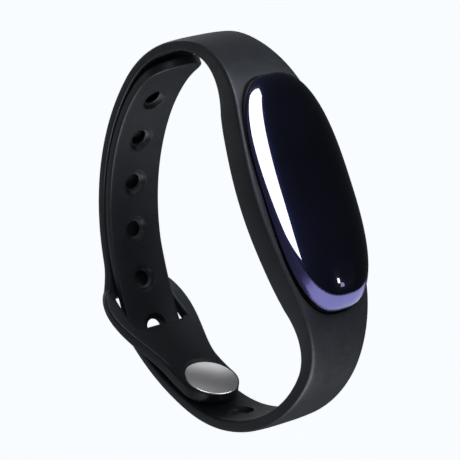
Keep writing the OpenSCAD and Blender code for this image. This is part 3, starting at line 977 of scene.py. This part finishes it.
# The finish of each slot: two colours, and where they differ from the usual, the range of
# roughness and how metallic it is
SLOT_FINISHES = {
    "shell_plastic": ((0.006, 0.006, 0.008), (0.009, 0.009, 0.011)),
    "seal_rubber": ((0.010, 0.010, 0.011), (0.016, 0.016, 0.017)),
    "display_glass": ((0.002, 0.002, 0.003), (0.004, 0.004, 0.006), (0.05, 0.09)),
    "bracket_plastic": ((0.24, 0.24, 0.24), (0.31, 0.31, 0.32)),
    "flex_film": ((0.26, 0.09, 0.012), (0.36, 0.13, 0.02), (0.25, 0.35)),
    "board_laminate": ((0.003, 0.022, 0.012), (0.005, 0.034, 0.018), (0.3, 0.42)),
    "chip_plastic": ((0.004, 0.004, 0.005), (0.007, 0.007, 0.008)),
    "can_steel": ((0.42, 0.42, 0.43), (0.52, 0.52, 0.53), (0.25, 0.38), 1.0),
    "ceramic": ((0.50, 0.46, 0.38), (0.62, 0.58, 0.50)),
    "led_lens": ((0.70, 0.70, 0.62), (0.80, 0.80, 0.74), (0.1, 0.2)),
    "cell_foil": ((0.44, 0.45, 0.47), (0.56, 0.57, 0.59), (0.28, 0.45), 1.0),
    "tape": ((0.66, 0.64, 0.54), (0.76, 0.74, 0.66)),
    "tab_nickel": ((0.42, 0.40, 0.35), (0.52, 0.50, 0.45), (0.25, 0.4), 1.0),
    "pin_gold": ((0.60, 0.36, 0.10), (0.76, 0.50, 0.17), (0.18, 0.3), 1.0),
    "motor_steel": ((0.34, 0.34, 0.35), (0.44, 0.44, 0.45), (0.25, 0.4), 1.0),
    "magnet": ((0.36, 0.36, 0.38), (0.46, 0.46, 0.48), (0.12, 0.2), 1.0),
    "rotor_metal": ((0.20, 0.18, 0.16), (0.30, 0.27, 0.24), (0.35, 0.5), 1.0),
}

MATERIALS = {name: plain(name, *values) for name, values in SLOT_FINISHES.items()}
MATERIALS["strap_silicone"] = silicone()
MATERIALS["lens_cover"] = lens_plastic()
MATERIALS["trim_violet"] = trim_plastic()
MATERIALS["button_steel"] = button_steel()


def finish_cad_nodes():
    """Gives every carried-over CAD node the finish of its own material slot."""
    for sub in frame["record"]["subparts"]:
        mesh = NODES[sub["node"]].data
        mesh.materials.clear()
        mesh.materials.append(MATERIALS[sub["material_slot"]])


finish_cad_nodes()


# ---------------------------------------------------------------- making the pieces

def add_piece(piece, slot, body, replaced):
    """Gives a piece its material, hides the nodes that it replaces and attaches it to the body that it
    rides on, if it doesn't bend."""
    piece.data.materials.append(MATERIALS[slot])
    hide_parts(*replaced)
    if body is not None:
        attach(piece, body)
    return piece


def metres(point):
    return tuple(c * MM for c in point)


loop_side = add_piece(make_loop_side(), "strap_silicone", None, ["strap_tab", "strap_body"])
hole_side = add_piece(make_hole_side(), "strap_silicone", None, ["strap_tail", "strap_body"])
cradle = add_piece(make_cradle(), "strap_silicone", "strap", ["strap_body"])
lens = add_piece(make_lens(), "lens_cover", "tracker", ["lens"])
trim = add_piece(make_trim(), "trim_violet", "tracker", ["trim_ring"])
base = add_piece(make_base(), "shell_plastic", "tracker", ["base_shell"])
button = add_piece(make_button(), "button_steel", "tab", ["stud_button"])

# Directions in which the tab and the tail would bend over a short stretch about their joints; nothing
# below uses them, and the loop only bakes each of the two pieces' placement into its mesh
TAB_WAY = np.array((0.4, 0, -0.92))
TAIL_WAY = np.array((-0.8, 0, 0.6))
for piece, body, joint, way in ((loop_side, "tab", "tab_bend", TAB_WAY),
                                (hole_side, "tail", "tail_bend", TAIL_WAY)):
    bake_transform(piece)


# ---------------------------------------------------------------- floor, light and camera

FLOOR_HALF = 6.0
FLOOR_DROP = 0.0002
FLOOR_GLOW = 0.98


def pale_floor():
    """A pale floor that fills the view but gives the object no light, reflection or shadow."""
    z = cad_low[2] - FLOOR_DROP
    mesh = bpy.data.meshes.new("floor")
    mesh.from_pydata([(FLOOR_HALF * sx, FLOOR_HALF * sy, z) for sx, sy in CORNERS], [], [(0, 1, 2, 3)])
    floor = bpy.data.objects.new("floor", mesh)
    bpy.context.scene.collection.objects.link(floor)
    material, tree, shader = new_material("pale_floor")
    shader.inputs["Base Color"].default_value = (0.9, 0.92, 0.95, 1)
    shader.inputs["Roughness"].default_value = 0.9
    shader.inputs["Specular IOR Level"].default_value = 0.1
    shader.inputs["Emission Color"].default_value = (0.93, 0.955, 1, 1)
    shader.inputs["Emission Strength"].default_value = FLOOR_GLOW
    mesh.materials.append(material)
    floor.visible_diffuse = False
    floor.visible_glossy = False
    floor.visible_shadow = False


def dim_world():
    """A faint even light from all round."""
    world = bpy.data.worlds.new("studio")
    world.use_nodes = True
    background = world.node_tree.nodes["Background"]
    background.inputs["Color"].default_value = (0.75, 0.8, 0.9, 1)
    background.inputs["Strength"].default_value = 0.05
    bpy.context.scene.world = world


def direction(azimuth, elevation):
    a, e = math.radians(azimuth), math.radians(elevation)
    return np.array((math.cos(e) * math.cos(a), math.cos(e) * math.sin(a), math.sin(e)))


def soft_panel(name, centre, target, width, height, radiance, receivers, colour=(1, 1, 1)):
    """An area light at a place in millimetres that faces a target and lights only its receivers;
    radiance is its brightness, whatever its size."""
    data = bpy.data.lights.new(name, "AREA")
    data.shape = "RECTANGLE"
    data.size = width * MM
    data.size_y = height * MM
    data.color = colour
    data.energy = radiance * math.pi * data.size * data.size_y
    lamp = bpy.data.objects.new(name, data)
    bpy.context.scene.collection.objects.link(lamp)
    lamp.location = metres(centre)
    way = Vector(target) - Vector(centre)
    lamp.rotation_euler = way.to_track_quat("-Z", "Y").to_euler()
    group = bpy.data.collections.new(name + "_receivers")
    for piece in receivers:
        group.objects.link(piece)
    lamp.light_linking.receiver_collection = group


STRAP_PIECES = [loop_side, hole_side, cradle]
SMALL_PARTS = [base] + [NODES[sub["node"]] for sub in frame["record"]["subparts"]]
SATIN_PIECES = STRAP_PIECES + SMALL_PARTS

# A tall soft wall to the front left gives the capsule its long white reflection
WALL_AZIMUTH = -102
WALL_DISTANCE = 300
WALL_W = 2 * WALL_DISTANCE * math.tan(math.radians(43))
WALL_LOW = -15
WALL_HIGH = 1700
WALLS = (("wall_on_lens", 22, [lens]), ("wall_on_trim", 0.07, [trim]), ("wall_on_button", 0.25, [button]))

# The other lamps: name, distance, azimuth and elevation from the ring's middle, target, width,
# height, brightness and receivers. The strap has its main light from above, near the plane of
# the ring, and weaker ones from below and all round. The trim mirrors a pale panel below it. The
# button mirrors lamps behind it, above it at the front and the right, and overhead.
RING_MIDDLE = (0, 0, 0)
BUTTON_AT = (-3, 0, -27)
LAMPS = (
    ("side_wall", 500, -152, -20, RING_MIDDLE, 260, 900, 0.38, SATIN_PIECES),
    ("low_light", 300, 13, -56, (18, 0, 0), 1200, 740, 1.05, [trim]),
    ("top_light", 900, 5, 61, RING_MIDDLE, 260, 700, 15, SATIN_PIECES),
    ("front_light", 900, -18, -58, RING_MIDDLE, 1000, 800, 4.8, STRAP_PIECES),
    ("left_light", 700, 165, 5, RING_MIDDLE, 400, 700, 1.6, SATIN_PIECES),
    ("rear_light", 700, 140, 25, RING_MIDDLE, 500, 500, 0.16, SATIN_PIECES),
    ("edge_light", 600, 52, 46, (8, 0, 20), 200, 200, 2.6, STRAP_PIECES),
    ("near_light", 800, -42, 30, (8, 0, 10), 180, 180, 6, STRAP_PIECES),
    ("far_light", 700, 108, 0, RING_MIDDLE, 500, 500, 0.3, SATIN_PIECES),
    ("back_light", 700, 140, 23, BUTTON_AT, 400, 360, 1.3, [button]),
    ("rim_light", 600, -40, 58, BUTTON_AT, 400, 300, 7, [button]),
    ("rim_light_right", 600, 45, 50, BUTTON_AT, 300, 300, 6, [button]),
    ("high_light", 700, 105, 74, BUTTON_AT, 500, 300, 0.7, [button]),
)

# Two small lamps that the lens mirrors near its touch point: name, the place that mirrors it,
# azimuth and elevation from there, width, height, brightness and colour
TOUCH_DISTANCE = 300
TOUCH_LAMPS = (
    ("touch_lamp", (30.6, -2, -0.8), 29.8, -3.3, 24, 24, 24, (1, 1, 1)),
    ("touch_lamp_low", (30.7, -1.3, -1.5), 35.2, -7.7, 30, 26, 6, (0.6, 0.6, 1)),
)


def add_lights():
    middle = np.array((0, 0, (WALL_LOW + WALL_HIGH) / 2))
    wall_at = WALL_DISTANCE * direction(WALL_AZIMUTH, 0) + middle
    for name, radiance, receivers in WALLS:
        soft_panel(name, wall_at, middle, WALL_W, WALL_HIGH - WALL_LOW, radiance, receivers)
    for name, distance, azimuth, elevation, *rest in LAMPS:
        soft_panel(name, distance * direction(azimuth, elevation), *rest)
    for name, place, azimuth, elevation, width, height, radiance, colour in TOUCH_LAMPS:
        centre = np.array(place) + TOUCH_DISTANCE * direction(azimuth, elevation)
        soft_panel(name, centre, place, width, height, radiance, [lens], colour)


CAMERA_AZIMUTH = math.radians(49.37)
CAMERA_ELEVATION = math.radians(17.44)
CAMERA_DISTANCE = 469.8
CAMERA_TARGET = (0.68, 0.76, -0.05)
FOCAL_LENGTH = 219.2
SENSOR_WIDTH = 36
CLIP_START = 0.01


def add_camera():
    data = bpy.data.cameras.new("camera")
    data.lens = FOCAL_LENGTH
    data.sensor_width = SENSOR_WIDTH
    data.clip_start = CLIP_START
    camera = bpy.data.objects.new("camera", data)
    bpy.context.scene.collection.objects.link(camera)
    flat = math.cos(CAMERA_ELEVATION)
    back = Vector((flat * math.sin(CAMERA_AZIMUTH), -flat * math.cos(CAMERA_AZIMUTH),
                   math.sin(CAMERA_ELEVATION)))
    camera.location = (Vector(CAMERA_TARGET) + back * CAMERA_DISTANCE) * MM
    camera.rotation_euler = (-back).to_track_quat("-Z", "Y").to_euler()
    bpy.context.scene.camera = camera


pale_floor()
dim_world()
add_lights()
add_camera()
bpy.context.scene.view_settings.view_transform = "Standard"
